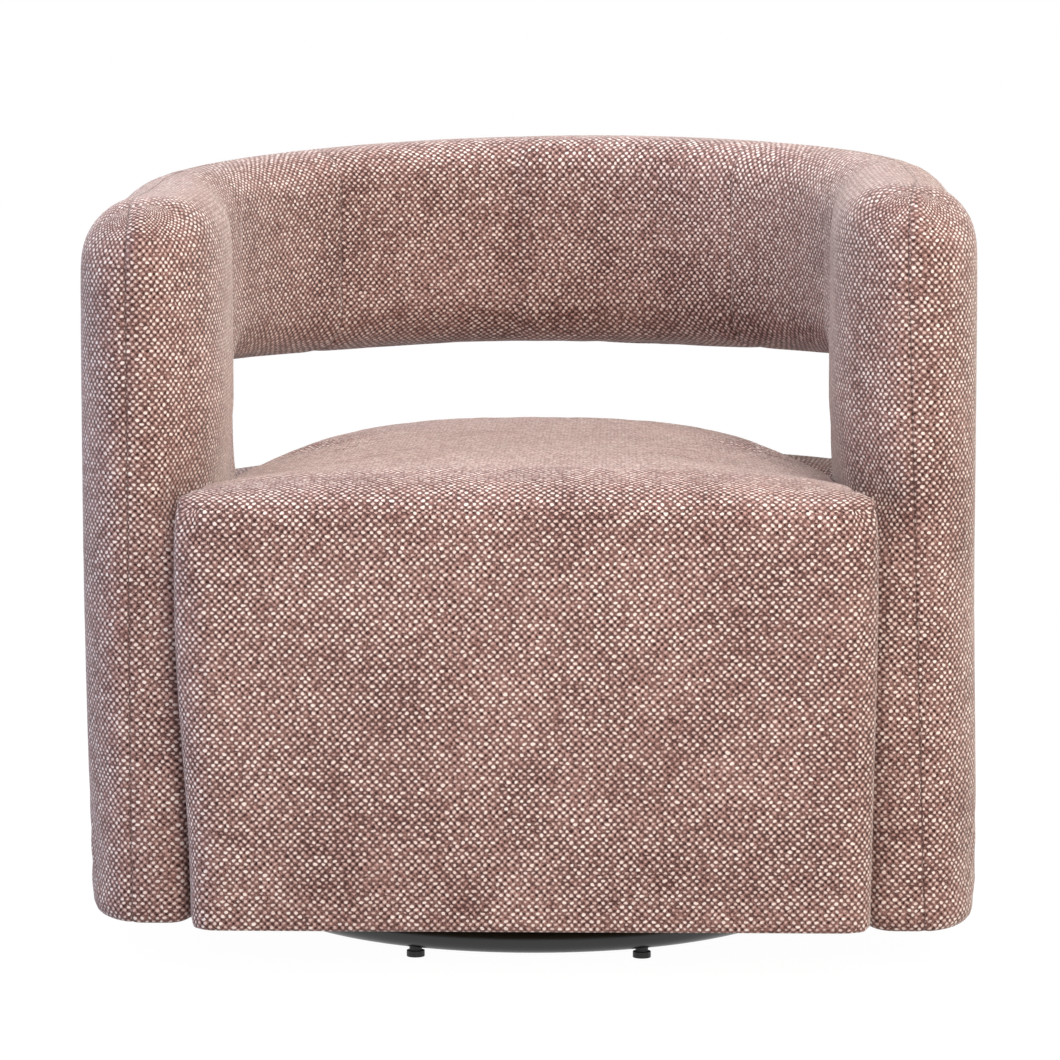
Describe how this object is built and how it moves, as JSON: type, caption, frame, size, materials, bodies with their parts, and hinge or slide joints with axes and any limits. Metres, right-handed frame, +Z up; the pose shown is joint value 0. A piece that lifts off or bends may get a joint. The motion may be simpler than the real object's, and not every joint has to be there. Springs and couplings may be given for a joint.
{
  "type": "swivel rocker",
  "caption": "Upholstered barrel chair with an open window in its back, on a round tubular base that swivels, with a spring rocker under the seat.",
  "frame": {"origin": "on the floor, on the swivel axis, under the middle of the chair's plan", "axes": "+X to the right as seen from the front, +Y to the back, so the seat faces -Y, +Z up"},
  "size_m": [0.8, 0.76, 0.76],
  "materials": {
    "weave": "matte",
    "cambric": "matte",
    "plywood": "matte",
    "timber": "matte",
    "black_steel": "satin",
    "zinc_steel": "satin",
    "spring_steel": "satin",
    "acetal": "matte",
    "rubber": "matte",
    "glide_plastic": "matte"
  },
  "bodies": {
    "base": {"base_ring": "black_steel", "bearing_ring": "acetal", "glide_1": "glide_plastic", "glide_2": "glide_plastic", "glide_3": "glide_plastic", "glide_4": "glide_plastic", "glide_5": "glide_plastic", "glide_6": "glide_plastic", "glide_7": "glide_plastic", "glide_8": "glide_plastic", "hub": "black_steel", "king_bolt": "zinc_steel", "king_nut": "zinc_steel", "lower_race": "zinc_steel", "spoke_1": "black_steel", "spoke_2": "black_steel", "spoke_3": "black_steel", "spoke_4": "black_steel"},
    "turntable": {"rock_stop_front_left": "rubber", "rock_stop_front_right": "rubber", "rock_stop_rear_left": "rubber", "rock_stop_rear_right": "rubber", "rocker_spring_front_left": "spring_steel", "rocker_spring_front_right": "spring_steel", "rocker_spring_rear_left": "spring_steel", "rocker_spring_rear_right": "spring_steel", "spring_bracket_lower_left": "zinc_steel", "spring_bracket_lower_right": "zinc_steel", "swivel_plate": "zinc_steel", "upper_race": "zinc_steel"},
    "seat": {"arm_core_left": "plywood", "arm_core_right": "plywood", "arm_pad_left": "weave", "arm_pad_right": "weave", "back_rail_pad": "weave", "base_board_front": "plywood", "base_board_left": "plywood", "base_board_rear": "plywood", "base_board_right": "plywood", "deck_board_front": "plywood", "deck_board_rear": "plywood", "front_pad": "weave", "front_panel": "plywood", "lower_back_core": "plywood", "lower_back_pad": "weave", "mount_rail_left": "timber", "mount_rail_right": "timber", "post_front_left": "timber", "post_front_right": "timber", "post_rear_left": "timber", "post_rear_right": "timber", "rail_core": "timber", "seat_pad": "weave", "seat_spring_1": "spring_steel", "seat_spring_2": "spring_steel", "seat_spring_3": "spring_steel", "seat_spring_4": "spring_steel", "spring_bracket_upper_left": "zinc_steel", "spring_bracket_upper_right": "zinc_steel", "well_cover": "cambric"}
  },
  "joints": [
    {"name": "swivel", "type": "hinge", "parent": "base", "child": "turntable", "pos_m": [0, 0, 0.05], "axis": [0, 0, 1], "continuous": true},
    {"name": "rock", "type": "hinge", "parent": "turntable", "child": "seat", "pos_m": [0, 0, 0.0856], "axis": [1, 0, 0], "range_deg": [-4, 4], "stiffness_Nm_per_rad": 1200, "deforming": ["rocker_spring_front_left", "rocker_spring_front_right", "rocker_spring_rear_left", "rocker_spring_rear_right"]}
  ]
}
